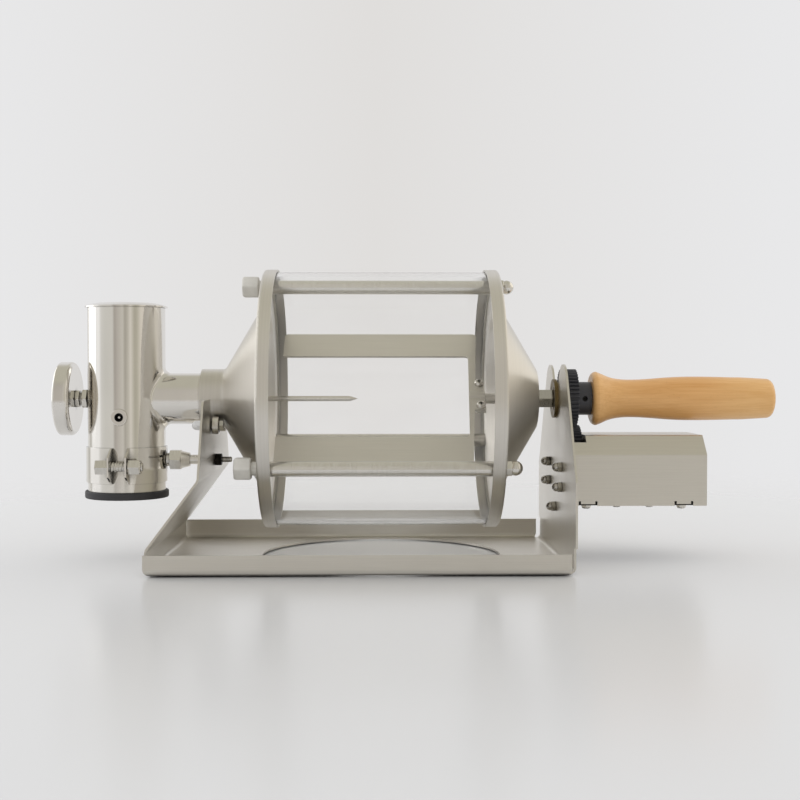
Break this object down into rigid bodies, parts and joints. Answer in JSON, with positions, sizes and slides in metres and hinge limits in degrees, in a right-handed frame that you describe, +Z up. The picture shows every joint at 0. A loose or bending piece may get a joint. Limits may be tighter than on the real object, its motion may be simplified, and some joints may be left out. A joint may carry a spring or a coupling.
{
  "type": "gas coffee roaster",
  "caption": "Tabletop coffee roaster: a glass drum geared to a motor turns on a folded steel base over a gas burner, with a chaff collector, a dial thermometer and a wooden handle.",
  "frame": {"origin": "bottom centre of the whole roaster, on the table", "axes": "+X along the drum towards the wooden handle, +Y to the back, +Z up"},
  "size_m": [0.5336, 0.192, 0.214],
  "materials": {
    "stainless": "satin",
    "polished_stainless": "polished",
    "bright_steel": "bright",
    "black_steel": "blackened",
    "brass": "machined",
    "clear_glass": "clear",
    "silicone": "matte",
    "black_rubber": "matte",
    "black_nylon": "satin",
    "black_plastic": "satin",
    "grey_knob": "bead blasted",
    "lacquered_wood": "lacquered",
    "dial_white": "matte",
    "pointer_black": "matte"
  },
  "bodies": {
    "base": {"base_frame": "stainless", "roller_axle_bolts": "bright_steel", "roller_axle_nuts": "bright_steel", "shaft_bush": "brass", "motor_housing": "stainless", "housing_bottom_cover": "stainless", "cover_screws": "bright_steel", "motor_bracket": "stainless", "bracket_screws": "bright_steel", "gear_motor": "bright_steel", "motor_power_jack": "black_plastic", "motor_jack_nut": "bright_steel", "stand_bolts": "bright_steel", "stand_nuts": "bright_steel"},
    "drum": {"left_end_cap": "stainless", "right_end_cap": "stainless", "glass_cylinder": "clear_glass", "left_seal": "silicone", "right_seal": "silicone", "tie_rods": "bright_steel", "tie_rod_nuts": "bright_steel", "vane_frame": "stainless", "vane_screws": "bright_steel", "drive_shaft": "bright_steel", "hex_spacer": "bright_steel", "drum_gear": "black_nylon", "gear_set_screw": "black_steel", "wood_handle": "lacquered_wood"},
    "pinion": {"pinion": "black_nylon", "motor_shaft": "bright_steel"},
    "front_roller": {"front_roller": "bright_steel"},
    "back_roller": {"back_roller": "bright_steel"},
    "collector": {"collector_tube": "polished_stainless", "rubber_ring": "black_rubber", "band_clamp": "stainless", "clamp_bolt": "bright_steel", "clamp_nut": "bright_steel", "support_stud": "bright_steel", "stud_union_nut": "bright_steel", "fan_power_jack": "black_plastic", "fan_jack_nut": "bright_steel", "chaff_screen": "stainless", "fan_motor": "black_plastic", "fan_mount": "black_plastic", "thermometer_case": "polished_stainless", "thermometer_stem": "polished_stainless", "gland_nut": "bright_steel", "gland_lock_nuts": "bright_steel", "dial_plate": "dial_white", "dial_lens": "clear_glass"},
    "lid": {"collector_lid": "polished_stainless"},
    "fan": {"fan_impeller": "black_plastic"},
    "pointer": {"dial_pointer": "pointer_black"},
    "stud_nut": {"stud_lock_nut": "black_steel"},
    "knob_1": {"knob_1": "grey_knob"},
    "knob_2": {"knob_2": "grey_knob"},
    "knob_3": {"knob_3": "grey_knob"}
  },
  "joints": [
    {"name": "drum_spin", "type": "hinge", "parent": "base", "child": "drum", "pos_m": [-0.02735, 0, 0.118], "axis": [1, 0, 0], "continuous": true},
    {"name": "pinion_spin", "type": "hinge", "parent": "base", "child": "pinion", "pos_m": [0.10715, 0, 0.076], "axis": [1, 0, 0], "continuous": true},
    {"name": "front_roller_spin", "type": "hinge", "parent": "base", "child": "front_roller", "pos_m": [-0.15085, -0.02157, 0.09892], "axis": [1, 0, 0], "continuous": true},
    {"name": "back_roller_spin", "type": "hinge", "parent": "base", "child": "back_roller", "pos_m": [-0.15085, 0.02157, 0.09892], "axis": [1, 0, 0], "continuous": true},
    {"name": "collector_pull", "type": "slide", "parent": "base", "child": "collector", "axis": [-1, 0, 0], "range_m": [0, 0.125]},
    {"name": "lid_lift", "type": "slide", "parent": "collector", "child": "lid", "axis": [0, 0, 1], "range_m": [0, 0.03]},
    {"name": "fan_spin", "type": "hinge", "parent": "collector", "child": "fan", "pos_m": [-0.21735, 0, 0.076], "axis": [0, 0, 1], "continuous": true},
    {"name": "pointer_turn", "type": "hinge", "parent": "collector", "child": "pointer", "pos_m": [-0.26345, 0, 0.118], "axis": [1, 0, 0], "range_deg": [0, 270]},
    {"name": "stud_nut_turn", "type": "hinge", "parent": "base", "child": "stud_nut", "pos_m": [-0.15165, 0, 0.0725], "axis": [1, 0, 0], "continuous": true},
    {"name": "knob_1_turn", "type": "hinge", "parent": "drum", "child": "knob_1", "pos_m": [-0.11345, -0.00666, 0.20073], "axis": [1, 0, 0], "continuous": true},
    {"name": "knob_2_turn", "type": "hinge", "parent": "drum", "child": "knob_2", "pos_m": [-0.11345, 0.07498, 0.0824], "axis": [1, 0, 0], "continuous": true},
    {"name": "knob_3_turn", "type": "hinge", "parent": "drum", "child": "knob_3", "pos_m": [-0.11345, -0.06832, 0.07087], "axis": [1, 0, 0], "continuous": true}
  ],
  "couplings": [
    {"joint": "pinion_spin", "follows": "drum_spin", "ratio": -1},
    {"joint": "front_roller_spin", "follows": "drum_spin", "ratio": -3.3846},
    {"joint": "back_roller_spin", "follows": "drum_spin", "ratio": -3.3846}
  ]
}
